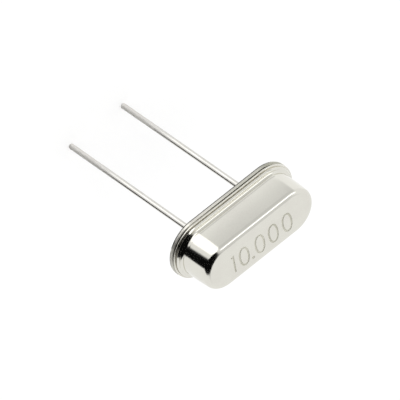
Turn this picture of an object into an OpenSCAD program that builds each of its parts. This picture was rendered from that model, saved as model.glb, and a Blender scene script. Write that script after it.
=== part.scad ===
// Low-profile quartz crystal in a two-lead welded metal case.
// X runs along the case and the row of leads, Y across it, and Z points out of the cap's top.
// The origin is the middle of the seating plane, which is the flat underside of the base.
// All sizes are in millimetres.

/* [Case outline] */
// Distance between the centres of the case's two round ends
end_spacing = 6.2; // [6.0:0.05:7.0]
// Height of the cap's top above the seating plane
case_height = 3.23; // [3.05:0.01:4.5]

/* [Base] */
// Outer radius of the base's flange at the round ends, over its lower rim
base_flange_radius = 2.375; // [2.3:0.005:2.8]
// Thickness of the base's flange
base_flange_thickness = 0.5; // [0.49:0.01:0.58]
// Height of the lower rim, below the groove in the flange's edge
lower_rim_height = 0.3; // [0.25:0.01:0.31]
// Round on both edges of the lower rim
lower_rim_round = 0.1; // [0.05:0.01:0.12]
// Depth of the groove in the flange's edge, from the lower rim
groove_depth = 0.075; // [0.06:0.005:0.1]
// Width of that groove
groove_width = 0.08; // [0.05:0.01:0.08]
// How far the upper rim stands back from the lower one
upper_rim_setback = 0.025; // [0.01:0.005:0.04]
// Round on the edges of the upper rim and of the cap's flange
flange_edge_round = 0.05; // [0.03:0.01:0.05]
// Height of the raised platform above the seating plane
platform_height = 0.75; // [0.65:0.01:0.9]
// Gap between the platform's side and the inside of the cap
platform_gap = 0.08; // [0.03:0.01:0.15]
// Round on the platform's top edge
platform_round = 0.12; // [0.05:0.01:0.2]

/* [Cap] */
// Outer radius of the cap's flange at the round ends
cap_flange_radius = 2.22; // [2.15:0.005:2.24]
// Thickness of the cap's flange
cap_flange_thickness = 0.2; // [0.15:0.01:0.25]
// Outer radius of the cap's wall at the flange's underside
cap_foot_radius = 1.915; // [1.85:0.005:1.95]
// Outer radius that the wall narrows to at the height of the top
cap_top_radius = 1.855; // [1.8:0.005:1.9]
// Thickness of the drawn wall and top
cap_wall = 0.2; // [0.15:0.01:0.25]
// Outside round between the wall and the top
cap_top_round = 0.33; // [0.28:0.01:0.5]
// Round in the corner between the flange and the wall
cap_neck_round = 0.15; // [0.1:0.01:0.2]

/* [Leads] */
// Distance between the two leads
lead_pitch = 4.88; // [4.7:0.01:5.1]
// Diameter of the wire
lead_diameter = 0.43; // [0.35:0.01:0.5]
// Length of the wire below the seating plane
lead_length = 13.7; // [5:0.1:20]
// Round at the wire's cut tip
lead_tip_round = 0.1; // [0.04:0.01:0.15]
// Swell of the wire's radius from the seal's lower face up to the head, left by the heading die
lead_swell = 0.02; // [0.01:0.005:0.04]
// Bare wire between the platform and the head inside the case
lead_stub = 0.12; // [0.05:0.01:0.2]
// Diameter of the flattened head that carries the clip
lead_head_diameter = 0.8; // [0.6:0.01:0.9]
// Thickness of the flattened head
lead_head_thickness = 0.15; // [0.1:0.01:0.2]

/* [Glass seals] */
// Diameter of the glass bead round each lead
seal_diameter = 1.3; // [1.0:0.01:1.5]
// Depth of the glass below the metal on both faces
seal_recess = 0.1; // [0.05:0.01:0.15]
// Height that the glass climbs up the wire inside that recess
seal_creep = 0.08; // [0.03:0.01:0.1]

/* [Clips] */
// Width of the spring strip
clip_width = 1.0; // [0.7:0.01:1.2]
// Thickness of the spring strip
clip_thickness = 0.1; // [0.06:0.01:0.12]
// Inside radius of the strip's bends
clip_bend = 0.1; // [0.06:0.01:0.15]
// Reach of the foot past the lead's centre line, towards the middle of the case
clip_foot_reach = 0.42; // [0.3:0.01:0.6]
// Distance from the lead's centre line to the face of the riser
clip_riser_offset = 0.6; // [0.5:0.01:0.8]
// Height of the shelf's top above the foot's underside
clip_rise = 0.8; // [0.6:0.01:0.95]
// Height of the end stop above the shelf's top
clip_stop_height = 0.45; // [0.3:0.01:0.6]
// Width of the slot through the riser
clip_slot_width = 0.4; // [0.2:0.01:0.5]
// Height of the slot through the riser
clip_slot_height = 0.3; // [0.15:0.01:0.35]

/* [Quartz blank] */
// Length of the quartz strip
blank_length = 8.0; // [7.6:0.05:8.2]
// Width of the quartz strip
blank_width = 1.9; // [1.6:0.05:2.1]
// Thickness of the quartz strip
blank_thickness = 0.166; // [0.1:0.001:0.25]
// Length of each electrode's active area
electrode_length = 3.8; // [3:0.05:4.4]
// Width of each electrode's active area
electrode_width = 1.4; // [1.0:0.05:1.55]
// Width of the strip that joins the active area to the pad
electrode_tail_width = 0.5; // [0.3:0.05:0.9]
// Length of the pad at the end of the blank
electrode_pad_length = 0.55; // [0.4:0.05:0.7]
// Thickness of the metal film
electrode_thickness = 0.02; // [0.01:0.005:0.03]
// Gap between the film on the blank's end and the start of the clip's last bend
blank_end_gap = 0.02; // [0.01:0.01:0.06]

/* [Adhesive] */
// Radius of the ball that each drop of adhesive is part of
drop_radius = 0.42; // [0.38:0.01:0.5]
// Distance from the ball's centre to the clip's end stop
drop_offset = 0.32; // [0.25:0.01:0.37]
// Height of the drop above the film
drop_height = 0.3; // [0.2:0.01:0.35]
// Width of the adhesive between the film and the end stop
drop_neck_width = 0.4; // [0.2:0.01:0.5]

/* [Hidden] */

sweep_steps = 48;
arc_steps = 24;
cut = 1;            // how far a cutting shape runs past what it cuts
bite = 0.02;        // how far two shapes of one solid run into each other

left = -1;
right = 1;
lead_x = lead_pitch / 2;
lead_radius = lead_diameter / 2;

// the cap stands on the base's flange
cap_foot_z = base_flange_thickness;
cap_flange_top = cap_foot_z + cap_flange_thickness;
cap_inner_top = case_height - cap_wall;
wall_draft = atan((cap_foot_radius - cap_top_radius) / (case_height - cap_foot_z));
platform_radius = wall_radius(platform_height) - cap_wall / cos(wall_draft) - platform_gap;

// stack inside the case, from the platform up
head_z = platform_height + lead_stub;
foot_z = head_z + lead_head_thickness;
shelf_top = foot_z + clip_rise;
blank_z = shelf_top + electrode_thickness;
film_top = blank_z + blank_thickness + electrode_thickness;

// the glass wets the wire between these heights
wet_low = seal_recess - seal_creep;
wet_high = platform_height - wet_low;

// row of faces from the riser out to the end stop
riser_x = lead_x + clip_riser_offset;
film_end = blank_length / 2 + electrode_thickness;
stop_x = film_end + blank_end_gap + clip_bend;

// outer radius of the cap's wall at height z
function wall_radius(z) = cap_foot_radius - (z - cap_foot_z) * tan(wall_draft);

// radius of the wire at height z, above the height where its swell begins
function shank_radius(z) = lead_radius + lead_swell * (z - wet_low) / (head_z - wet_low);

// Sweeps a half section round the case's outline: its x is the distance from the middle line, its y the height.
module swept_round_case() {
    for (side = [left, right])
        translate([side * end_spacing / 2, 0, 0])
            rotate([0, 0, -90 * side])
                rotate_extrude(angle = 180, $fn = sweep_steps) children();
    rotate([90, 0, 90])
        linear_extrude(end_spacing, center = true) {
            children();
            mirror([1, 0]) children();
        }
}

// Half section of a flat sheet with both outer edges rounded.
module flange_section(radius, bottom, thickness, r) {
    translate([0, bottom]) square([radius - r, thickness]);
    translate([0, bottom + r]) square([radius, thickness - 2 * r]);
    for (z = [r, thickness - r])
        translate([radius - r, bottom + z]) circle(r, $fn = arc_steps);
}

// Half section of the base's flange: two rims with a groove between them.
module grooved_section() {
    groove_top = lower_rim_height + groove_width;
    flange_section(base_flange_radius, 0, lower_rim_height, lower_rim_round);
    translate([0, lower_rim_height - bite])
        square([base_flange_radius - groove_depth, groove_width + 2 * bite]);
    flange_section(base_flange_radius - upper_rim_setback, groove_top,
        base_flange_thickness - groove_top, flange_edge_round);
}

// Half section of a body with drafted sides and a rounded top edge, grown inwards by an inset.
module drafted_section(inset, top, round) {
    side = inset / cos(wall_draft);
    z = top - round;
    x = wall_radius(z) - side - round / cos(wall_draft);
    polygon([
        [0, cap_foot_z],
        [wall_radius(cap_foot_z) - side, cap_foot_z],
        [x + round * cos(wall_draft), z + round * sin(wall_draft)],
        [x, top],
        [0, top]
    ]);
    translate([x, z]) circle(round, $fn = arc_steps);
}

// Half section of the round that fills the corner between the cap's flange and its wall.
module neck_section() {
    r = cap_neck_round;
    z = cap_flange_top + r;
    x = wall_radius(z) + r / cos(wall_draft);
    inner = wall_radius(z) - cap_wall / 2;
    difference() {
        polygon([
            [inner, cap_flange_top - bite],
            [x, cap_flange_top - bite],
            [x, z],
            [x - r * cos(wall_draft), z - r * sin(wall_draft)],
            [inner, z]
        ]);
        translate([x, z]) circle(r, $fn = arc_steps);
    }
}

module cap() {
    color("silver")
    swept_round_case()
    difference() {
        union() {
            flange_section(cap_flange_radius, cap_foot_z, cap_flange_thickness, flange_edge_round);
            neck_section();
            drafted_section(0, case_height, cap_top_round);
        }
        drafted_section(cap_wall, cap_inner_top, cap_top_round - cap_wall);
        translate([0, cap_foot_z - cut])
            square([wall_radius(cap_foot_z) - cap_wall / cos(wall_draft), cut + bite]);
    }
}

module base() {
    r = platform_round;
    color("lightgray")
    difference() {
        swept_round_case() {
            grooved_section();
            square([platform_radius, platform_height - r]);
            square([platform_radius - r, platform_height]);
            translate([platform_radius - r, platform_height - r]) circle(r, $fn = arc_steps);
        }
        for (side = [left, right])
            translate([side * lead_x, 0, -cut])
                cylinder(h = platform_height + 2 * cut, d = seal_diameter, $fn = sweep_steps);
    }
}

// A glass bead, sunk below the metal on both faces and drawn a little way along the wire.
module glass_seal(side) {
    low = seal_recess;
    high = platform_height - seal_recess;
    color("darkslategray")
    translate([side * lead_x, 0, 0])
        rotate_extrude($fn = sweep_steps)
            polygon([
                [lead_radius, wet_low],
                [lead_radius + seal_creep, low],
                [seal_diameter / 2, low],
                [seal_diameter / 2, high],
                [shank_radius(wet_high) + seal_creep, high],
                [shank_radius(wet_high), wet_high]
            ]);
}

// A straight wire with a rounded tip below, and inside the case a swollen shank and a flattened head.
module lead(side) {
    r = lead_tip_round;
    color("gainsboro")
    translate([side * lead_x, 0, 0])
        rotate_extrude($fn = sweep_steps) {
            translate([0, -lead_length]) square([lead_radius - r, r + bite]);
            translate([0, r - lead_length]) square([lead_radius, lead_length - r + wet_low]);
            polygon([
                [0, wet_low - bite],
                [lead_radius, wet_low - bite],
                [lead_radius, wet_low],
                [lead_radius + lead_swell, head_z],
                [lead_radius + lead_swell, head_z + bite],
                [0, head_z + bite]
            ]);
            intersection() {
                translate([lead_radius - r, r - lead_length]) circle(r, $fn = arc_steps);
                translate([0, -lead_length]) square([lead_radius, r]);
            }
            translate([0, head_z]) square([lead_head_diameter / 2, lead_head_thickness]);
        }
}

// A quarter ring of strip about the origin, in the quadrant that x_side and z_side name.
module strip_bend(x_side, z_side) {
    outer = clip_bend + clip_thickness;
    intersection() {
        difference() {
            circle(outer, $fn = arc_steps);
            circle(clip_bend, $fn = arc_steps);
        }
        translate([x_side > 0 ? 0 : -outer, z_side > 0 ? 0 : -outer]) square(outer);
    }
}

// Side view of the spring strip: foot, riser, shelf and end stop, joined by three bends.
module clip_section() {
    t = clip_thickness;
    b = clip_bend;
    foot_start = lead_x - clip_foot_reach;
    foot_bend = riser_x - b;
    shelf_bend = riser_x + t + b;
    shelf_z = shelf_top - t;
    stop_bend = stop_x - b;
    // foot
    translate([foot_start, foot_z]) square([foot_bend - foot_start, t]);
    translate([foot_bend, foot_z + t + b]) strip_bend(right, -1);
    // riser
    translate([riser_x, foot_z + t + b]) square([t, shelf_z - b - foot_z - t - b]);
    translate([shelf_bend, shelf_z - b]) strip_bend(left, 1);
    // shelf
    translate([shelf_bend, shelf_z]) square([stop_bend - shelf_bend, t]);
    translate([stop_bend, shelf_top + b]) strip_bend(right, -1);
    // end stop
    translate([stop_x, shelf_top + b]) square([t, clip_stop_height - b]);
}

// Mirrors what is drawn for the right-hand end onto the end that side names.
module at_end(side) {
    if (side == left) mirror([1, 0, 0]) children();
    else children();
}

module clip(side) {
    slot_z = (foot_z + shelf_top - clip_slot_height) / 2;
    color("goldenrod")
    at_end(side)
    difference() {
        rotate([90, 0, 0]) linear_extrude(clip_width, center = true) clip_section();
        translate([riser_x - cut / 2, -clip_slot_width / 2, slot_z])
            cube([cut, clip_slot_width, clip_slot_height]);
    }
}

module quartz_blank() {
    color("lightcyan")
    translate([-blank_length / 2, -blank_width / 2, blank_z])
        cube([blank_length, blank_width, blank_thickness]);
}

// Film on the blank's top and round its right-hand end, ending in a pad underneath.
module electrode_film() {
    t = electrode_thickness;
    pad_x = blank_length / 2 - electrode_pad_length;
    top_z = blank_z + blank_thickness;
    translate([-electrode_length / 2, -electrode_width / 2, top_z])
        cube([electrode_length, electrode_width, t]);
    translate([0, -electrode_tail_width / 2, top_z])
        cube([film_end, electrode_tail_width, t]);
    difference() {
        translate([pad_x, -electrode_width / 2, blank_z - t])
            cube([electrode_pad_length + t, electrode_width, blank_thickness + 2 * t]);
        translate([pad_x - cut, -electrode_width, blank_z])
            cube([cut + electrode_pad_length, 2 * electrode_width, blank_thickness]);
    }
}

module electrode_top() {
    color("whitesmoke") electrode_film();
}

// The same film turned half a turn about the middle of the blank.
module electrode_bottom() {
    middle_z = blank_z + blank_thickness / 2;
    color("whitesmoke")
    translate([0, 0, middle_z])
        rotate([0, 180, 0])
            translate([0, 0, -middle_z]) electrode_film();
}

// A drop on the film's pad that runs down between the film's end and the clip's end stop.
module adhesive(side) {
    ball_x = stop_x - drop_offset;
    color("silver")
    at_end(side) {
        intersection() {
            translate([ball_x, 0, film_top + drop_height - drop_radius])
                sphere(drop_radius, $fn = sweep_steps);
            translate([ball_x - drop_radius, -drop_radius, film_top])
                cube([drop_radius + drop_offset, 2 * drop_radius, drop_height]);
        }
        translate([film_end, -drop_neck_width / 2, shelf_top + clip_bend])
            cube([stop_x - film_end, drop_neck_width, film_top - shelf_top - clip_bend]);
    }
}

cap();
base();
glass_seal(left);  // glass_seal_left
glass_seal(right);  // glass_seal_right
lead(left);  // lead_left
lead(right);  // lead_right
clip(left);  // clip_left
clip(right);  // clip_right
quartz_blank();
electrode_top();
electrode_bottom();
adhesive(left);  // adhesive_left
adhesive(right);  // adhesive_right
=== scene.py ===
# Low-profile quartz crystal in a welded metal can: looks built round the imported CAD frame.
# Sizes are in millimetres until a mesh is made. The top of the case is up, along Z, and its long
# sides run along X.
import math

import bpy
import numpy as np
from mathutils import Matrix, Vector
from mathutils.geometry import delaunay_2d_cdt


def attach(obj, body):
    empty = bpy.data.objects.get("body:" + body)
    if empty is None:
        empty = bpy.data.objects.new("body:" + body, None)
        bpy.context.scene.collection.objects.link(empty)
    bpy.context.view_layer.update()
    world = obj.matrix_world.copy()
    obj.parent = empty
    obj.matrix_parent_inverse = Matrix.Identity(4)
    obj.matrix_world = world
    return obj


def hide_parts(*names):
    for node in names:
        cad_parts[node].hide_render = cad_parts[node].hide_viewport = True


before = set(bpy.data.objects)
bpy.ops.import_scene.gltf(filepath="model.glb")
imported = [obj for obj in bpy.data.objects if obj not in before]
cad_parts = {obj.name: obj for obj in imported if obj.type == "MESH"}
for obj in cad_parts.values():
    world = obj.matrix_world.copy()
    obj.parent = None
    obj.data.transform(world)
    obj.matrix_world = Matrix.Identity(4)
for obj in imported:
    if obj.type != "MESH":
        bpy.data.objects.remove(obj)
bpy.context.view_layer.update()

MM = 0.001

# ---------------------------------------------------------------- sizes, as in the CAD solids
SPINE = 3.1                    # half the distance between the centres of the round ends
CASE_TOP = 3.23
BASE_FLANGE_R, BASE_FLANGE_T = 2.375, 0.5
LOWER_RIM_TOP = 0.3
GROOVE_R, GROOVE_TOP = 2.3, 0.38
UPPER_RIM_R = 2.35
CAP_FLANGE_R = 2.22
FOOT_R, TOP_R = 1.915, 1.855
WALL = 0.2
TOP_ROUND = 0.33
PLATFORM_TOP, PLATFORM_GAP, PLATFORM_ROUND = 0.75, 0.08, 0.12
LEAD_X, LEAD_R, LEAD_TIP, LEAD_TIP_ROUND = 2.44, 0.215, -13.7, 0.1
LEAD_SWELL, LEAD_STUB, HEAD_R, HEAD_T = 0.02, 0.12, 0.4, 0.15
SEAL_R, SEAL_RECESS, SEAL_CREEP = 0.65, 0.1, 0.08

# ---------------------------------------------------------------- forms finer than the CAD solids
CAP_FLANGE_T = 0.23            # 0.03 more than in the CAD
NECK_ROUND = 0.17              # 0.02 more than in the CAD
EDGE_ROUND = 0.065             # of the cap's flange
RIM_ROUND = 0.035              # of the base's rims, above their bottom edge
BOTTOM_ROUND, BOTTOM_CHAMFER = 0.04, 0.11
BOTTOM_SLOPE = math.radians(10)
WALL_LEAN = math.radians(3.0)  # the wall's bulge tips it out at the foot and in at the top
ROLL_R, ROLL_START = 1.2, 84   # the last of the top round, gentler from this angle up, in degrees
END_FROM, END_TO = 0.1, 0.36   # where the end profile starts and is full: sines of the angle
END_ROUND = 0.09               # the lower rim's upper edge is rounder there
END_DEEPER = 0.045             # the groove is deeper there
END_RISE = 30                  # and the shelf from it to the groove slopes up, in degrees
END_TILT = 32                  # the side of the cap's flange leans in there, in degrees

# ---------------------------------------------------------------- shading normals
WALL_TURN = math.radians(-2.2) # of the long walls, at a quarter of their length
DIE_LINE, DIE_WIDTH, DIE_TILT = 1.08, 0.04, math.radians(10)  # a faint line round the wall
# Where a lead's normal points, against the angle round the lead, both in degrees.
LEAD_TURNS = [
    (0, 0), (45, 87), (93, 93), (117, 117), (133, 125), (145, 130),
    (156, 139), (167, 149), (178, 162), (188, 179), (207, 207), (360, 360),
]

# ---------------------------------------------------------------- how finely the meshes are cut
ALONG, AROUND = 40, 56         # stations along each long side and round each end
ROUND_STATIONS = 64            # round a lead, a bead or its hole
EDGE_PARTS = 8                 # of a small edge round
BOTTOM_PARTS, NECK_PARTS, TOP_PARTS, INNER_PARTS = 10, 14, 24, 10
WALL_PARTS, WIRE_PARTS, CREEP_PARTS = 60, 30, 10
ZERO_POINTS, DOT_POINTS, STEM_POINTS = 56, 20, 13
MERGE_LIMIT = 1e-7             # points this close are one when a flat region is filled
LEVEL_LIMIT = 1e-6             # and points this little below its level are still in it
MARK_SLOT = 1                  # material slot of engraved faces

# ---------------------------------------------------------------- sizes that follow from those
CAP_FOOT = BASE_FLANGE_T
CAP_FLANGE_TOP = CAP_FOOT + CAP_FLANGE_T
INNER_TOP = CASE_TOP - WALL
DRAFT = math.atan((FOOT_R - TOP_R) / (CASE_TOP - CAP_FOOT))
HEAD_Z = PLATFORM_TOP + LEAD_STUB
WET_LOW = SEAL_RECESS - SEAL_CREEP
WET_HIGH = PLATFORM_TOP - WET_LOW


def wall_radius(z):
    """Outer radius of the cap's drafted wall at height z."""
    return FOOT_R - (z - CAP_FOOT) * math.tan(DRAFT)


def shank_radius(z):
    """Radius of the lead where it swells through the seal."""
    return LEAD_R + LEAD_SWELL * (z - WET_LOW) / (HEAD_Z - WET_LOW)


# ---------------------------------------------------------------- mesh building
class Build:
    """Collects vertices, faces, a slot for each face and a normal for each face corner."""

    def __init__(self):
        self.verts, self.faces, self.normals, self.slots = [], [], [], []

    def add(self, points):
        start = len(self.verts)
        self.verts.extend(tuple(p) for p in points)
        return list(range(start, len(self.verts)))

    def face(self, ids, normals, slot=0):
        self.faces.append(tuple(ids))
        self.normals.extend(tuple(n) for n in normals)
        self.slots.append(slot)

    def weld(self, ring, onto):
        """Joins a ring of vertices onto another in the same places, and drops those left over."""
        same = dict(zip(ring, onto))
        faces = [tuple(same.get(v, v) for v in f) for f in self.faces]
        kept = sorted({v for f in faces for v in f})
        place = {v: i for i, v in enumerate(kept)}
        self.verts = [self.verts[v] for v in kept]
        self.faces = [tuple(place[v] for v in f) for f in faces]

    def finish(self, name, materials):
        mesh = bpy.data.meshes.new(name)
        mesh.from_pydata([Vector(v) * MM for v in self.verts], [], self.faces)
        for m in materials:
            mesh.materials.append(m)
        mesh.polygons.foreach_set("material_index", self.slots)
        mesh.polygons.foreach_set("use_smooth", [True] * len(self.faces))
        mesh.normals_split_custom_set([Vector(n).normalized() for n in self.normals])
        mesh.update()
        obj = bpy.data.objects.new(name, mesh)
        bpy.context.scene.collection.objects.link(obj)
        return obj


def straight(p, q, parts=1):
    """Points of a line from p to q with its normal on the right-hand side."""
    (r0, z0), (r1, z1) = p, q
    size = math.hypot(r1 - r0, z1 - z0)
    nr, nz = (z1 - z0) / size, -(r1 - r0) / size
    return [
        (r0 + (r1 - r0) * i / parts, z0 + (z1 - z0) * i / parts, nr, nz)
        for i in range(parts + 1)
    ]


def bend(centre, radius, start, end, parts, hollow=False):
    """Points of an arc, in degrees, with normals outwards, or inwards if hollow."""
    made = []
    for i in range(parts + 1):
        a = math.radians(start + (end - start) * i / parts)
        c, s = math.cos(a), math.sin(a)
        k = -1 if hollow else 1
        made.append((centre[0] + radius * c, centre[1] + radius * s, k * c, k * s))
    return made


def turned(angle):
    """Where the normal of a lead points: its sides look a little flattened by drawing."""
    for (a0, b0), (a1, b1) in zip(LEAD_TURNS, LEAD_TURNS[1:]):
        if angle <= a1:
            return b0 + (b1 - b0) * (angle - a0) / (a1 - a0)


def crease(strip):
    """Turns the normals of a wall about the faint line that the drawing die leaves round it."""
    made = []
    for r, z, nr, nz in strip:
        a = math.atan2(nz, nr) + DIE_TILT * math.exp(-(((z - DIE_LINE) / DIE_WIDTH) ** 2))
        made.append((r, z, math.cos(a), math.sin(a)))
    return made


def case_path():
    """Stations round the case, anticlockwise from above: the spine point x, the way out, and the
    normal, which turns a little along the long walls as if they were slightly hollow."""
    path = []
    for side in (-1, 1):
        for i in range(ALONG):
            t = 2 * i / ALONG - 1
            a = WALL_TURN * math.sin(math.pi * t)
            normal = (-side * math.sin(a), side * math.cos(a))
            path.append((-side * SPINE * t, 0.0, float(side), *normal))
        for i in range(AROUND):
            a = math.radians(90 * side + 180 * i / AROUND)
            c, s = math.cos(a), math.sin(a)
            path.append((-side * SPINE, c, s, c, s))
    return path


def round_path():
    """Stations round a circle."""
    path = []
    for i in range(ROUND_STATIONS):
        a = 2 * math.pi * i / ROUND_STATIONS
        c, s = math.cos(a), math.sin(a)
        path.append((0.0, c, s, c, s))
    return path


CASE_PATH = case_path()
ROUND_PATH = round_path()


def end_share(station):
    """How much of the end profile a station has: none on the long sides, all of it at the ends."""
    t = min(max((abs(station[1]) - END_FROM) / (END_TO - END_FROM), 0.0), 1.0)
    return t * t * (3 - 2 * t)


def sweep(build, path, strips, x=0.0, seams=None, leaning=(), ends=None):
    """Carries the strips of a profile round the path and returns the first and last ring.
    Neighbouring strips share a ring, and each keeps its own normals there, so that their corner is
    crisp. seams gives the material slot of single strips. leaning lists the strips that take the
    path's own normals. ends is the profile at the two ends, with as many points, if it differs."""
    count = len(path)

    def between(point, station):
        if not ends:
            return point
        a, b = point
        w = end_share(station)
        return [p + (q - p) * w for p, q in zip(a, b)]

    def ring(point):
        made = []
        for station in path:
            sx, ox, oy = station[:3]
            r, z = between(point, station)[:2]
            made.append((x + sx + r * ox, r * oy, z))
        return build.add(made)

    def normal(point, station):
        nx, ny = station[3:] if number in leaning else station[1:3]
        _, _, nr, nz = between(point, station)
        return (nr * nx, nr * ny, nz)

    if ends:
        strips = [list(zip(a, b)) for a, b in zip(strips, ends)]

    first = last = None
    for number, strip in enumerate(strips):
        slot = (seams or {}).get(number, 0)
        for i, point in enumerate(strip):
            if i == 0:
                ids = last if last is not None else ring(point)
                first = first or ids
            else:
                ids = ring(point)
                before = strip[i - 1]
                for j in range(count):
                    k = (j + 1) % count
                    build.face(
                        (last[j], last[k], ids[k], ids[j]),
                        (
                            normal(before, path[j]),
                            normal(before, path[k]),
                            normal(point, path[k]),
                            normal(point, path[j]),
                        ),
                        slot,
                    )
            last = ids
    return first, last


def plate(build, loops, up, marks=()):
    """Fills a flat region: loops are rings of vertex ids, the outer one first, the rest holes.
    marks are engraved: each has rows of (x, y, depth), and says whether the rows are closed."""
    z = build.verts[loops[0][0]][2]
    points, ids, edges = [], [], []
    for loop in loops:
        start = len(points)
        for v in loop:
            points.append(build.verts[v][:2])
            ids.append(v)
        edges += [(start + i, start + (i + 1) % len(loop)) for i in range(len(loop))]
    for rows, closed in marks:
        for row in rows:
            new = build.add([(px, py, z - depth) for px, py, depth in row])
            start = len(points)
            for v in new:
                points.append(build.verts[v][:2])
                ids.append(v)
            n = len(row)
            edges += [
                (start + i, start + (i + 1) % n) for i in range(n if closed else n - 1)
            ]
    out_points, _, out_faces, origin, _, _ = delaunay_2d_cdt(
        [Vector(p) for p in points], edges, [], 1, MERGE_LIMIT
    )
    real = []
    for p, o in zip(out_points, origin):
        real.append(ids[o[0]] if o else build.add([(p[0], p[1], z)])[0])
    holes = [[build.verts[v][:2] for v in loop] for loop in loops[1:]]
    for f in out_faces:
        corners = [real[i] for i in f]
        cx = sum(build.verts[v][0] for v in corners) / len(corners)
        cy = sum(build.verts[v][1] for v in corners) / len(corners)
        if any(inside(cx, cy, h) for h in holes):
            continue
        a, b, c = (np.array(build.verts[v]) for v in corners[:3])
        n = np.cross(b - a, c - a)
        if n[2] * up < 0:
            corners.reverse()
            n = -n
        sunk = any(build.verts[v][2] < z - LEVEL_LIMIT for v in corners)
        n = tuple(n / (np.linalg.norm(n) or 1.0)) if sunk else (0.0, 0.0, float(up))
        build.face(corners, [n] * len(corners), MARK_SLOT if sunk else 0)


def inside(x, y, loop):
    """Whether the point lies inside the loop."""
    hit = False
    for (x0, y0), (x1, y1) in zip(loop, loop[1:] + loop[:1]):
        if (y0 > y) != (y1 > y) and x < (x1 - x0) * (y - y0) / (y1 - y0) + x0:
            hit = not hit
    return hit


# ---------------------------------------------------------------- shader building
class Nodes:
    """A short way to build a node tree. A value is a number, a tuple or another node's socket."""

    def __init__(self, tree):
        self.tree = tree
        tree.nodes.clear()

    def new(self, kind, values=None, **settings):
        node = self.tree.nodes.new(kind)
        for name, value in settings.items():
            setattr(node, name, value)
        for key, value in (values or {}).items():
            if isinstance(value, bpy.types.NodeSocket):
                self.tree.links.new(value, node.inputs[key])
            else:
                node.inputs[key].default_value = value
        return node

    def math(self, operation, a, b, c=0.0):
        return self.new("ShaderNodeMath", {0: a, 1: b, 2: c}, operation=operation).outputs[0]

    def ramp(self, value, low, high, to_low=0.0, to_high=1.0, smooth=False):
        node = self.new(
            "ShaderNodeMapRange",
            {0: value, 1: low, 2: high, 3: to_low, 4: to_high},
            interpolation_type="SMOOTHSTEP" if smooth else "LINEAR",
        )
        return node.outputs[0]

    def mix(self, factor, a, b):
        node = self.new("ShaderNodeMix", data_type="RGBA")
        for key, value in ((0, factor), (6, a), (7, b)):
            if isinstance(value, bpy.types.NodeSocket):
                self.tree.links.new(value, node.inputs[key])
            else:
                node.inputs[key].default_value = value
        return node.outputs[2]

    def noise(self, vector, scale, detail, roughness):
        node = self.new(
            "ShaderNodeTexNoise",
            {"Vector": vector, "Scale": scale, "Detail": detail, "Roughness": roughness},
        )
        return node.outputs[0]

    def bump(self, height, size):
        """Normals of a surface whose height varies by the size, in millimetres."""
        node = self.new(
            "ShaderNodeBump", {"Height": height, "Distance": size * MM, "Strength": 1.0}
        )
        return node.outputs[0]

    def surface(self, values):
        """Ends a material in one principled shader with these values."""
        shader = self.new("ShaderNodeBsdfPrincipled", values)
        self.new("ShaderNodeOutputMaterial", {"Surface": shader.outputs[0]})


def rgb(r, g, b):
    return (r, g, b, 1.0)


WHITE = rgb(1.0, 1.0, 1.0)


def position_mm(n, stretch=(1.0, 1.0, 1.0)):
    """Position on the object, in millimetres, stretched along its axes."""
    place = n.new("ShaderNodeTexCoord").outputs["Object"]
    node = n.new(
        "ShaderNodeVectorMath",
        {0: place, 1: tuple(1000.0 * s for s in stretch)},
        operation="MULTIPLY",
    )
    return node.outputs[0]


def new_material(name):
    m = bpy.data.materials.new(name)
    m.use_nodes = True
    return m, Nodes(m.node_tree)


PATCHES = (0.8, 3.0, 0.6)      # noise of the patches: scale per mm, detail, roughness
FINE = (2.0, 0.6)              # noise of the grain: detail, roughness


def metal(name, colour, tint, rough, spread, grain, grain_height, stretch=(1, 1, 1), wear_and_painted_light=()):
    """Plated metal: patches of slightly different tint and gloss, and a fine, slightly rough grain.
    The last argument lists how it changes along an axis, partly wear and partly painted shade or
    light: the axis, the range over which the change sets in, the range over which it dies away
    again or None, the added roughness, and the colour there."""
    m, n = new_material(name)
    place = position_mm(n)
    grain_place = position_mm(n, stretch)
    patches = n.noise(place, *PATCHES)
    fine = n.noise(grain_place, grain, *FINE)
    colour_out = n.mix(n.ramp(patches, 0.35, 0.65, smooth=True), rgb(*colour), rgb(*tint))
    mixed = n.math("ADD", n.math("MULTIPLY", patches, 0.5), n.math("MULTIPLY", fine, 0.5))
    rough_out = n.ramp(mixed, 0.3, 0.7, rough - spread, rough + spread)
    for axis, start, end, extra, shade in wear_and_painted_light:
        reach = n.new("ShaderNodeSeparateXYZ", {0: place}).outputs[axis]
        amount = n.ramp(reach, *start, smooth=True)
        if end:
            amount = n.math("MULTIPLY", amount, n.ramp(reach, *end, smooth=True))
        rough_out = n.math("MULTIPLY_ADD", amount, extra, rough_out)
        colour_out = n.mix(amount, colour_out, rgb(*shade))
    n.surface({
        "Base Color": colour_out,
        "Metallic": 1.0,
        "Roughness": rough_out,
        "Normal": n.bump(fine, grain_height),
    })
    return m


cap_metal = metal(
    "bright_plate", (0.758, 0.748, 0.683), (0.743, 0.728, 0.668),
    rough=0.12, spread=0.03, grain=14.0, grain_height=0.0004, stretch=(1.0, 1.0, 0.25),
)
base_metal = metal(
    "rolled_plate", (0.78, 0.765, 0.70), (0.75, 0.73, 0.66),
    rough=0.2, spread=0.05, grain=18.0, grain_height=0.0006, stretch=(0.2, 1.0, 1.0),
)
lead_metal = metal(
    "tinned_wire", (0.75, 0.735, 0.70), (0.715, 0.70, 0.66),
    rough=0.2, spread=0.05, grain=30.0, grain_height=0.0008, stretch=(1.0, 1.0, 0.03),
    wear_and_painted_light=[("Z", (-7.0, -12.3), None, 0.5, (0.92, 0.905, 0.87))],
)
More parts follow.
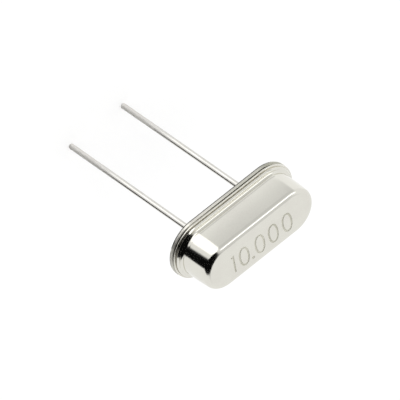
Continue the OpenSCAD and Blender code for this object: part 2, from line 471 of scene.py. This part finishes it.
# The weld's darker colour is partly its own tone and partly painted shade in the crease under the
# cap's flange. A painted reflection makes it much darker on a stretch near the left end, and
# painted light makes it lighter and glossier at the right end.
seam_and_painted_light = metal(
    "weld_seam_and_painted_light", (0.68, 0.66, 0.60), (0.61, 0.59, 0.53),
    rough=0.5, spread=0.1, grain=25.0, grain_height=0.003,
    wear_and_painted_light=[
        ("X", (-3.5, -3.8), (-5.0, -4.7), 0.0, (0.2, 0.19, 0.17)),
        ("X", (2.6, 3.8), None, -0.3, (0.84, 0.825, 0.76)),
    ],
)
# The groove's dark colour is painted shade: darkest on the +Y side near the left end and from the
# middle to near the right end, a lighter grey elsewhere.
painted_groove_shade = metal(
    "groove_painted_shade", (0.68, 0.665, 0.60), (0.63, 0.615, 0.55),
    rough=0.5, spread=0.1, grain=25.0, grain_height=0.003,
    wear_and_painted_light=[
        ("Y", (0.1, 0.9), None, 0.0, (0.2, 0.19, 0.16)),
        ("X", (-4.0, -3.4), None, 0.0, (0.66, 0.645, 0.58)),
        ("X", (-3.4, -0.2), (4.5, 3.7), 0.0, (0.215, 0.21, 0.165)),
    ],
)
# The lower rim's side and edge: painted shade darkens it from the middle towards the right end,
# most just before that end, and a little at the far left end; it is also rougher towards the left
# end.
painted_shade_rim = metal(
    "rim_with_painted_shade", (0.80, 0.785, 0.72), (0.76, 0.74, 0.68),
    rough=0.25, spread=0.05, grain=25.0, grain_height=0.002,
    wear_and_painted_light=[
        ("X", (-2.0, 1.5), (5.3, 4.5), 0.0, (0.62, 0.61, 0.545)),
        ("X", (-3.4, -4.2), None, 0.3, (0.80, 0.78, 0.72)),
        ("X", (-4.5, -5.3), None, 0.0, (0.7, 0.69, 0.63)),
        ("X", (3.0, 4.0), (5.2, 4.8), 0.0, (0.41, 0.405, 0.34)),
    ],
)
# Painted light: lighter towards the left end, and rougher there too.
upper_rim_painted_light = metal(
    "upper_rim", (0.78, 0.765, 0.70), (0.75, 0.73, 0.66),
    rough=0.2, spread=0.05, grain=25.0, grain_height=0.002,
    wear_and_painted_light=[("X", (-3.8, -4.6), None, 0.6, (0.88, 0.865, 0.80))],
)
clip_metal = metal(
    "spring_strip", (0.70, 0.67, 0.60), (0.66, 0.62, 0.54),
    rough=0.28, spread=0.06, grain=25.0, grain_height=0.0008, stretch=(0.1, 1.0, 1.0),
)
film_metal = metal(
    "silver_film", (0.90, 0.89, 0.86), (0.87, 0.85, 0.80),
    rough=0.25, spread=0.05, grain=60.0, grain_height=0.0003,
)
mark_metal = metal(
    "engraved_line", (0.735, 0.72, 0.625), (0.685, 0.67, 0.575),
    rough=0.45, spread=0.08, grain=60.0, grain_height=0.002,
)


CLOUDS = (3.0, 4.0, 0.6)       # noise of the clouds: scale per mm, detail, roughness
SKIN = (3.0, 0.6)              # noise of the skin: detail, roughness


def coated(name, colour, tint, rough, grain, grain_height, transmission=0.0, ior=1.5):
    """A glass, stone or resin surface with cloudy colour and a fine uneven skin."""
    m, n = new_material(name)
    place = position_mm(n)
    cloud = n.noise(place, *CLOUDS)
    fine = n.noise(place, grain, *SKIN)
    n.surface({
        "Base Color": n.mix(n.ramp(cloud, 0.3, 0.7, smooth=True), rgb(*colour), rgb(*tint)),
        "Roughness": n.ramp(fine, 0.3, 0.7, rough * 0.7, rough * 1.3),
        "Normal": n.bump(fine, grain_height),
        "IOR": ior,
        "Transmission Weight": transmission,
    })
    return m


seal_glass = coated(
    "seal_glass", (0.030, 0.045, 0.040), (0.050, 0.070, 0.060),
    rough=0.12, grain=12.0, grain_height=0.002, ior=1.52,
)
quartz = coated(
    "lapped_quartz", (0.93, 0.95, 0.95), (0.88, 0.92, 0.93),
    rough=0.35, grain=80.0, grain_height=0.0008, transmission=0.9, ior=1.544,
)
adhesive = coated(
    "silver_adhesive", (0.58, 0.57, 0.54), (0.48, 0.47, 0.44),
    rough=0.5, grain=20.0, grain_height=0.004,
)

# ---------------------------------------------------------------- engraved number
MARK_WIDTH, MARK_DEPTH = 0.165, 0.012
FLOOR_SHARE, FLOOR_INSET = 0.2, 0.3      # a bar's floor: half its width and its end's inset
FLAG = [(-2.67, 0.35), (-2.61, 0.38), (-2.55, 0.41)]  # of the one
STEM_WIDTH, STEM_TOP, STEM_STEP = 0.15, (-2.452, 0.50), (-0.005, -0.13)
DOT_FLOOR_SHARE = 0.6
DOT_X, DOT_Y, DOT_R = -0.86, -1.0, 0.13
ZERO_X, ZERO_Y = (-1.56, -0.11, 1.14, 2.43), -0.28
ZERO_WIDTH, ZERO_HEIGHT = 0.76, 1.57
ZERO_BULGE = 0.9               # 1 would make the zero an ellipse


def sideways(points, ring=False):
    """The points of a line as an array, its directions and the unit vectors to its left."""
    p = np.array(points, float)
    d = np.roll(p, -1, 0) - np.roll(p, 1, 0) if ring else np.gradient(p, axis=0)
    d /= np.linalg.norm(d, axis=1)[:, None]
    return p, d, np.c_[-d[:, 1], d[:, 0]]


def ring_mark(points):
    """Rows of an engraved stroke with a rounded floor along a closed line of points."""
    p, _, side = sideways(points, ring=True)
    rows = []
    for share, sink in ((-0.5, 0.0), (-0.28, 0.75), (0.0, 1.0), (0.28, 0.75), (0.5, 0.0)):
        q = p + side * MARK_WIDTH * share
        rows.append([(x, y, MARK_DEPTH * sink) for x, y in q])
    return rows, True


def pit_mark(outline, floor):
    """A closed pit: its outline and a smaller floor loop inside it."""
    return [[(x, y, 0.0) for x, y in outline], [(x, y, MARK_DEPTH) for x, y in floor]], True


def bar_mark(points, width):
    """A stroke along an open line of points, as a pit with square ends."""
    p, d, side = sideways(points)

    def loop(half, inset):
        q = p.copy()
        q[0] += d[0] * inset
        q[-1] -= d[-1] * inset
        return [tuple(v) for v in [*(q + side * half), *(q - side * half)[::-1]]]

    return pit_mark(loop(width / 2, 0.0), loop(width * FLOOR_SHARE, width * FLOOR_INSET))


def zero_line(cx):
    """Centre line of a narrow zero."""
    made = []
    for i in range(ZERO_POINTS):
        a = 2 * math.pi * i / ZERO_POINTS
        c, s = math.cos(a), math.sin(a)
        x = math.copysign(abs(c) ** ZERO_BULGE, c) * ZERO_WIDTH / 2
        y = math.copysign(abs(s) ** ZERO_BULGE, s) * ZERO_HEIGHT / 2
        made.append((cx + x, ZERO_Y + y))
    return made


def dot_loop(radius):
    """Outline of a round dot."""
    turns = [2 * math.pi * i / DOT_POINTS for i in range(DOT_POINTS)]
    return [(DOT_X + radius * math.cos(a), DOT_Y + radius * math.sin(a)) for a in turns]


def number_marks():
    """The strokes of the number 10.000."""
    stem = [[top + step * i for top, step in zip(STEM_TOP, STEM_STEP)] for i in range(STEM_POINTS)]
    made = [bar_mark(FLAG, MARK_WIDTH), bar_mark(stem, STEM_WIDTH)]
    made += [ring_mark(zero_line(x)) for x in ZERO_X]
    made.append(pit_mark(dot_loop(DOT_R), dot_loop(DOT_R * DOT_FLOOR_SHARE)))
    return made


# ---------------------------------------------------------------- cap
def make_cap():
    b = Build()
    e = EDGE_ROUND
    low, high = CAP_FOOT, CAP_FLANGE_TOP
    foot_tilt, top_tilt = DRAFT - WALL_LEAN, DRAFT + WALL_LEAN
    neck_z = high + NECK_ROUND
    low_z = neck_z - NECK_ROUND * math.sin(foot_tilt)
    neck_x = wall_radius(low_z) + NECK_ROUND * math.cos(foot_tilt)
    fall = math.radians(ROLL_START)
    round_z = CASE_TOP - TOP_ROUND - (ROLL_R - TOP_ROUND) * (1 - math.sin(fall))
    high_z = round_z + TOP_ROUND * math.sin(top_tilt)
    round_x = wall_radius(high_z) - TOP_ROUND * math.cos(top_tilt)
    roll_x = round_x - (ROLL_R - TOP_ROUND) * math.cos(fall)
    wall_high = (wall_radius(high_z), high_z)
    chord = math.hypot(wall_high[0] - wall_radius(low_z), high_z - low_z)
    bulge = chord / 2 / math.sin(WALL_LEAN)
    bulge_centre = (
        wall_high[0] - bulge * math.cos(top_tilt), high_z - bulge * math.sin(top_tilt)
    )
    inner_round = TOP_ROUND - WALL
    inner_z = INNER_TOP - inner_round
    side = WALL / math.cos(DRAFT)
    inner_x = wall_radius(inner_z) - side - inner_round / math.cos(DRAFT)
    inner_foot = (wall_radius(low) - side, low)

    def flange(tilt):
        """The flange's profile, with a side that leans in by the tilt, in degrees."""
        c, s = math.cos(math.radians(tilt)), math.sin(math.radians(tilt))
        foot = (CAP_FLANGE_R - e, low + e)
        head = (foot[0] - (high - e - foot[1]) * s / c, high - e)
        return [
            straight(inner_foot, (CAP_FLANGE_R - e, low)),
            bend(foot, e, -90, tilt, EDGE_PARTS),
            straight((foot[0] + e * c, foot[1] + e * s), (head[0] + e * c, head[1] + e * s)),
            bend(head, e, tilt, 90, EDGE_PARTS),
            straight((head[0], high), (neck_x, high), 2),
        ]

    foot_angle, top_angle = math.degrees(foot_tilt), math.degrees(top_tilt)
    rise = [
        bend((neck_x, neck_z), NECK_ROUND, 270, 180 + foot_angle, NECK_PARTS, hollow=True),
        crease(bend(bulge_centre, bulge, foot_angle, top_angle, WALL_PARTS)),
        bend((round_x, round_z), TOP_ROUND, top_angle, ROLL_START, TOP_PARTS),
        bend((roll_x, CASE_TOP - ROLL_R), ROLL_R, ROLL_START, 90, EDGE_PARTS),
    ]
    first, last = sweep(
        b, CASE_PATH, flange(0) + rise,
        seams={0: 2, 1: 2},    # the flange's underside and lower edge: the weld, with painted shade and light
        leaning=(6,),          # the wall
        ends=flange(END_TILT) + rise,
    )
    plate(b, [last], 1, number_marks())
    # inside of the shell, from the top down
    c, s = math.cos(DRAFT), math.sin(DRAFT)
    ceiling = bend((inner_x, inner_z), inner_round, 90, math.degrees(DRAFT), INNER_PARTS)
    wall = straight((inner_x + inner_round * c, inner_z + inner_round * s), inner_foot, 4)
    top_ring, low_ring = sweep(b, CASE_PATH, [
        [(r, z, -nr, -nz) for r, z, nr, nz in ceiling],
        [(r, z, -c, -s) for r, z, _, _ in wall],
    ])
    plate(b, [top_ring], -1)
    # the last ring of the inside is the first ring of the flange
    b.weld(low_ring, first)
    return b.finish("cap_shell", [cap_metal, mark_metal, seam_and_painted_light])


cap = make_cap()
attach(cap, "root")
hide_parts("cap")


# ---------------------------------------------------------------- base
def hole_ring(b, x, z):
    """Edge of a bead's hole."""
    return b.add([(x + SEAL_R * c, SEAL_R * s, z) for _, c, s, _, _ in ROUND_PATH])


def tube(b, lows, highs):
    """Joins two rings by a wall that faces the axis between them."""
    for j in range(ROUND_STATIONS):
        k = (j + 1) % ROUND_STATIONS
        b.face(
            (lows[k], lows[j], highs[j], highs[k]),
            [(-ROUND_PATH[i][1], -ROUND_PATH[i][2], 0.0) for i in (k, j, j, k)],
        )


def make_base():
    b = Build()
    e, p = RIM_ROUND, PLATFORM_ROUND
    top = BASE_FLANGE_T
    platform_r = wall_radius(PLATFORM_TOP) - WALL / math.cos(DRAFT) - PLATFORM_GAP
    edge = BASE_FLANGE_R - (BOTTOM_CHAMFER - BOTTOM_ROUND) * math.tan(BOTTOM_SLOPE)

    def profile(top_round, groove_r, rise):
        """The base's profile: the lower rim's edge turns in by top_round and meets the groove's
        wall at groove_r, along a shelf that slopes up inwards by rise, in degrees."""
        c, s = math.cos(math.radians(rise)), math.sin(math.radians(rise))
        lower = (BASE_FLANGE_R - top_round, LOWER_RIM_TOP - top_round)
        shelf = (lower[0] + top_round * s, lower[1] + top_round * c)
        inner_z = shelf[1] + (shelf[0] - groove_r) * s / c
        return [
            bend((edge - BOTTOM_ROUND, BOTTOM_ROUND), BOTTOM_ROUND, -90, -10, BOTTOM_PARTS),
            straight((edge, BOTTOM_ROUND), (BASE_FLANGE_R, BOTTOM_CHAMFER)),
            straight((BASE_FLANGE_R, BOTTOM_CHAMFER), (BASE_FLANGE_R, lower[1])),
            bend(lower, top_round, 0, 40, EDGE_PARTS // 2),
            bend(lower, top_round, 40, 90 - rise, EDGE_PARTS // 2),
            straight(shelf, (groove_r, inner_z)),
            straight((groove_r, inner_z), (groove_r, GROOVE_TOP)),
            straight((groove_r, GROOVE_TOP), (UPPER_RIM_R - e, GROOVE_TOP)),
            bend((UPPER_RIM_R - e, GROOVE_TOP + e), e, -90, 0, EDGE_PARTS),
            straight((UPPER_RIM_R, GROOVE_TOP + e), (UPPER_RIM_R, top - e)),
            bend((UPPER_RIM_R - e, top - e), e, 0, 90, EDGE_PARTS),
            straight((UPPER_RIM_R - e, top), (platform_r, top), 2),
            straight((platform_r, top), (platform_r, PLATFORM_TOP - p)),
            bend((platform_r - p, PLATFORM_TOP - p), p, 0, 90, EDGE_PARTS),
        ]

    first, last = sweep(
        b, CASE_PATH, profile(e, GROOVE_R, 0),
        # the lower rim, the groove and the upper rim, in materials with painted shade and light
        seams={2: 2, 3: 2, 4: 2, 5: 1, 6: 1, 7: 1, 9: 3},
        ends=profile(END_ROUND, GROOVE_R - END_DEEPER, END_RISE),
    )
    low = [hole_ring(b, s * LEAD_X, 0.0) for s in (-1, 1)]
    high = [hole_ring(b, s * LEAD_X, PLATFORM_TOP) for s in (-1, 1)]
    plate(b, [last, *high], 1)
    plate(b, [first, *low], -1)
    for lows, highs in zip(low, high):
        tube(b, lows, highs)
    return b.finish("base_plate", [base_metal, painted_groove_shade, painted_shade_rim, upper_rim_painted_light])


base = make_base()
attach(base, "root")
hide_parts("base")


# ---------------------------------------------------------------- leads and seals
def make_lead(side, name):
    b = Build()
    r = LEAD_TIP_ROUND
    tip = LEAD_TIP
    top = HEAD_Z + HEAD_T
    neck = LEAD_R + LEAD_SWELL
    path = []
    for x, c, s, _, _ in ROUND_PATH:
        a = math.radians(turned(math.degrees(math.atan2(s, c)) % 360))
        path.append((x, c, s, math.cos(a), math.sin(a)))
    strips = [
        bend((LEAD_R - r, tip + r), r, -90, 0, EDGE_PARTS),
        straight((LEAD_R, tip + r), (LEAD_R, WET_LOW), WIRE_PARTS),
        straight((LEAD_R, WET_LOW), (neck, HEAD_Z), 2),
        straight((neck, HEAD_Z), (HEAD_R, HEAD_Z)),
        straight((HEAD_R, HEAD_Z), (HEAD_R, top)),
    ]
    first, last = sweep(b, path, strips, x=side * LEAD_X, leaning=(1, 2))
    plate(b, [first], -1)
    plate(b, [last], 1)
    return b.finish(name, [lead_metal])


def make_seal(side, name):
    b = Build()
    low, high = SEAL_RECESS, PLATFORM_TOP - SEAL_RECESS
    top_r = shank_radius(WET_HIGH)

    def meniscus(r, z, up):
        """A concave fillet that climbs from the glass's face to the wire."""
        c = SEAL_CREEP
        made = []
        for i in range(CREEP_PARTS + 1):
            a = math.pi / 2 * i / CREEP_PARTS
            made.append((
                r + c - c * math.sin(a),
                z + up * (c - c * math.cos(a)),
                math.sin(a),
                up * math.cos(a),
            ))
        return made

    # from the wire's lower wetting line, down the creep, out, up and back in
    low_creep = [(r, z, nr, nz) for r, z, nr, nz in reversed(meniscus(LEAD_R, low, -1))]
    high_creep = meniscus(top_r, high, 1)
    strips = [
        low_creep,
        straight((LEAD_R + SEAL_CREEP, low), (SEAL_R, low), 2),
        straight((SEAL_R, low), (SEAL_R, high), 2),
        straight((SEAL_R, high), (top_r + SEAL_CREEP, high), 2),
        high_creep,
    ]
    first, last = sweep(b, ROUND_PATH, strips, x=side * LEAD_X)
    tube(b, first, last)
    return b.finish(name, [seal_glass])


for side, word in ((-1, "left"), (1, "right")):
    for make, node, slot_name in (
        (make_lead, "lead", "lead_metal"),
        (make_seal, "glass_seal", "seal_glass"),
    ):
        piece = make(side, f"{node}_{word}_fine")
        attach(piece, "root")
        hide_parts(f"{node}_{word}")

# ---------------------------------------------------------------- inner pieces, as in the CAD
INNER = {
    "clip_left": clip_metal, "clip_right": clip_metal, "quartz_blank": quartz,
    "electrode_top": film_metal, "electrode_bottom": film_metal,
    "adhesive_left": adhesive, "adhesive_right": adhesive,
}
for node, material in INNER.items():
    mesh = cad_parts[node].data
    mesh.materials.clear()
    mesh.materials.append(material)

# ---------------------------------------------------------------- camera
# The axes of the photograph's view: right, down and forward, in the object's frame.
VIEW_RIGHT = Vector((0.72989, -0.16494, 0.66337))
VIEW_DOWN = Vector((-0.57451, -0.67388, 0.46457))
VIEW_FORWARD = Vector((0.37040, -0.72020, -0.58662))
DISTANCE = 590.0               # mm from the camera to the origin, along the view
SCALE = 14.683                 # pixels per mm at the origin
ORIGIN = (228.74, 217.94)      # pixel where the origin shows
IMAGE = 400.0                  # pixels across the photograph
SENSOR = 36.0                  # mm
CLIP = (0.05, 50.0)            # m

camera_data = bpy.data.cameras.new("camera")
camera_data.sensor_width = SENSOR
camera_data.lens = SENSOR * SCALE * DISTANCE / IMAGE
camera_data.clip_start, camera_data.clip_end = CLIP
camera = bpy.data.objects.new("camera", camera_data)
bpy.context.scene.collection.objects.link(camera)
offset_right = (ORIGIN[0] - IMAGE / 2) / SCALE
offset_down = (ORIGIN[1] - IMAGE / 2) / SCALE
place = -(VIEW_RIGHT * offset_right + VIEW_DOWN * offset_down + VIEW_FORWARD * DISTANCE) * MM
turn = Matrix((VIEW_RIGHT, -VIEW_DOWN, -VIEW_FORWARD)).transposed().to_4x4()
camera.matrix_world = Matrix.Translation(place) @ turn
bpy.context.scene.camera = camera

# ---------------------------------------------------------------- floor
FLOOR_HALF = 3.0               # m
FLOOR_COLOUR = 0.85
FLOOR_GLOW = 0.26              # what the camera alone sees, which makes the floor white

floor_mesh = bpy.data.meshes.new("floor")
half, level = FLOOR_HALF, LEAD_TIP * MM
floor_mesh.from_pydata(
    [(-half, -half, level), (half, -half, level), (half, half, level), (-half, half, level)],
    [], [(0, 1, 2, 3)],
)
floor = bpy.data.objects.new("floor", floor_mesh)
bpy.context.scene.collection.objects.link(floor)
floor.visible_glossy = False

floor_material, n = new_material("floor")
seen = n.new("ShaderNodeLightPath").outputs["Is Camera Ray"]
glow = n.new(
    "ShaderNodeEmission", {"Color": WHITE, "Strength": n.math("MULTIPLY", seen, FLOOR_GLOW)}
)
diffuse = n.new(
    "ShaderNodeBsdfDiffuse", {"Color": rgb(FLOOR_COLOUR, FLOOR_COLOUR, FLOOR_COLOUR)}
)
both = n.new("ShaderNodeAddShader", {0: diffuse.outputs[0], 1: glow.outputs[0]})
n.new("ShaderNodeOutputMaterial", {"Surface": both.outputs[0]})
floor_mesh.materials.append(floor_material)

# ---------------------------------------------------------------- light
# The metal mirrors its surroundings, so what glossy rays see is a room with straight-edged cards.
# Each card has its brightness, its corners, clockwise on a map of the directions round the
# photographer (right, down, the photographer in the middle), and the width of each edge's fade.
# Later cards lie over earlier ones.
ROOM = 0.98
CARDS = {
    "floor_dark": (
        0.14,
        [(1.2, -4.4), (-0.35, -1.08), (-0.90, -0.28), (-3.0, 0.5), (-8.0, -2.0), (-8.0, -8.0),
         (1.5, -8.0)],
        (0.1, 0.1, 0.2, 0.2, 0.2, 0.2, 0.2),
    ),
    "low_dark": (
        0.3,
        [(-2.1, -0.1), (-1.35, 0.2), (-2.7, 1.9), (-7.0, 5.0), (-6.5, 2.4)],
        (0.1, 0.1, 0.2, 0.2, 0.2),
    ),
    "side_light": (
        1.05,
        [(-0.1, -1.35), (3.0, -12.0), (8.0, -12.0), (8.0, -3.0), (0.6, -1.1)],
        (0.3, 0.3, 0.3, 0.3, 0.3),
    ),
    "wall_grey": (
        0.85,
        [(-0.395, -0.66), (0.13, -1.405), (0.57, -0.50), (0.27, -0.22)],
        (0.1, 0.22, 0.08, 0.12),
    ),
    "wall_dusk": (
        0.71,
        [(-0.31, -0.60), (0.19, -1.31), (0.57, -0.50), (0.27, -0.22)],
        (0.2, 0.22, 0.08, 0.12),
    ),
    "shade": (
        0.79,
        [(0.2, -0.12), (0.62, 0.02), (1.12, 0.65), (0.98, 0.78)],
        (0.1, 0.1, 0.08, 0.1),
    ),
    "softbox": (
        1.6,
        [(-0.42, -0.9), (-0.3, -0.85), (0.02, -0.42), (0.08, -0.14), (-0.66, -0.42)],
        (0.06, 0.06, 0.1, 0.06, 0.06),
    ),
    "strip": (
        2.2,
        [(0.368, -0.094), (0.683, -0.279), (0.755, -0.075), (0.462, 0.06)],
        (0.06, 0.1, 0.06, 0.06),
    ),
    "dark": (
        0.004,
        [(-0.60, -0.13), (-0.17, -0.19), (0.11, -0.15), (1.0, 0.68), (1.0, 0.79), (0.0, 0.71),
         (-0.42, 0.55)],
        (0.06, 0.06, 0.06, 0.05, 0.06, 0.08, 0.06),
    ),
    "dark_wall": (
        0.004,
        [(-1.6, -0.40), (-0.50, -0.16), (-0.34, 0.585), (-0.97, 0.27), (-1.6, -0.05)],
        (0.10, 0.02, 0.08, 0.08, 0.1),
    ),
}
SKY = 0.85                     # what lights the dull surfaces
BACKGROUND = 1.0               # what the camera and rays through glass see
POLE_GAP = 0.001               # keeps the map finite straight behind the object

world = bpy.data.worlds.new("studio")
bpy.context.scene.world = world
world.use_nodes = True
world.cycles.sampling_method = "NONE"
n = Nodes(world.node_tree)
ray = n.new("ShaderNodeTexCoord").outputs["Generated"]


def along(axis):
    """How far a ray goes along an axis."""
    node = n.new("ShaderNodeVectorMath", {0: ray, 1: tuple(axis)}, operation="DOT_PRODUCT")
    return node.outputs["Value"]


reach = n.math("SUBTRACT", 1 + POLE_GAP, along(VIEW_FORWARD))
map_u = n.math("DIVIDE", along(VIEW_RIGHT), reach)
map_v = n.math("DIVIDE", along(VIEW_DOWN), reach)


def cover_of(corners, fades):
    """How far a card covers a ray's direction, from 0 to 1."""
    cover = None
    for (u0, v0), (u1, v1), fade in zip(corners, corners[1:] + corners[:1], fades):
        size = math.hypot(u1 - u0, v1 - v0)
        a, b = -(v1 - v0) / size, (u1 - u0) / size
        away = n.math(
            "MULTIPLY_ADD", map_v, b, n.math("MULTIPLY_ADD", map_u, a, -(a * u0 + b * v0))
        )
        part = n.ramp(away, -fade / 2, fade / 2, smooth=True)
        cover = part if cover is None else n.math("MULTIPLY", cover, part)
    return cover


def over(below, cover, value):
    """Lays one brightness over what is below it."""
    node = n.new("ShaderNodeMix", {0: cover, 2: below, 3: value}, data_type="FLOAT")
    return node.outputs[0]


mirrored = ROOM
for brightness, corners, fades in CARDS.values():
    mirrored = over(mirrored, cover_of(corners, fades), brightness)
path = n.new("ShaderNodeLightPath")
light = over(SKY, path.outputs["Is Glossy Ray"], mirrored)
light = over(light, path.outputs["Is Transmission Ray"], BACKGROUND)
light = over(light, path.outputs["Is Camera Ray"], BACKGROUND)
sky = n.new("ShaderNodeBackground", {"Color": WHITE, "Strength": light})
n.new("ShaderNodeOutputWorld", {"Surface": sky.outputs[0]})

LAMP_SIZE, LAMP_POWER, LAMP_PLACE = 0.5, 0.6, Vector((-0.25, 0.35, 0.6))  # m, W, m
lamp_data = bpy.data.lights.new("soft_lamp", "AREA")
lamp_data.shape = "SQUARE"
lamp_data.size = LAMP_SIZE
lamp_data.energy = LAMP_POWER
lamp = bpy.data.objects.new("soft_lamp", lamp_data)
bpy.context.scene.collection.objects.link(lamp)
lamp.location = LAMP_PLACE
lamp.rotation_euler = (-LAMP_PLACE).to_track_quat("-Z", "Y").to_euler()
lamp.visible_glossy = False
lamp.visible_camera = False

bpy.context.scene.view_settings.view_transform = "Standard"
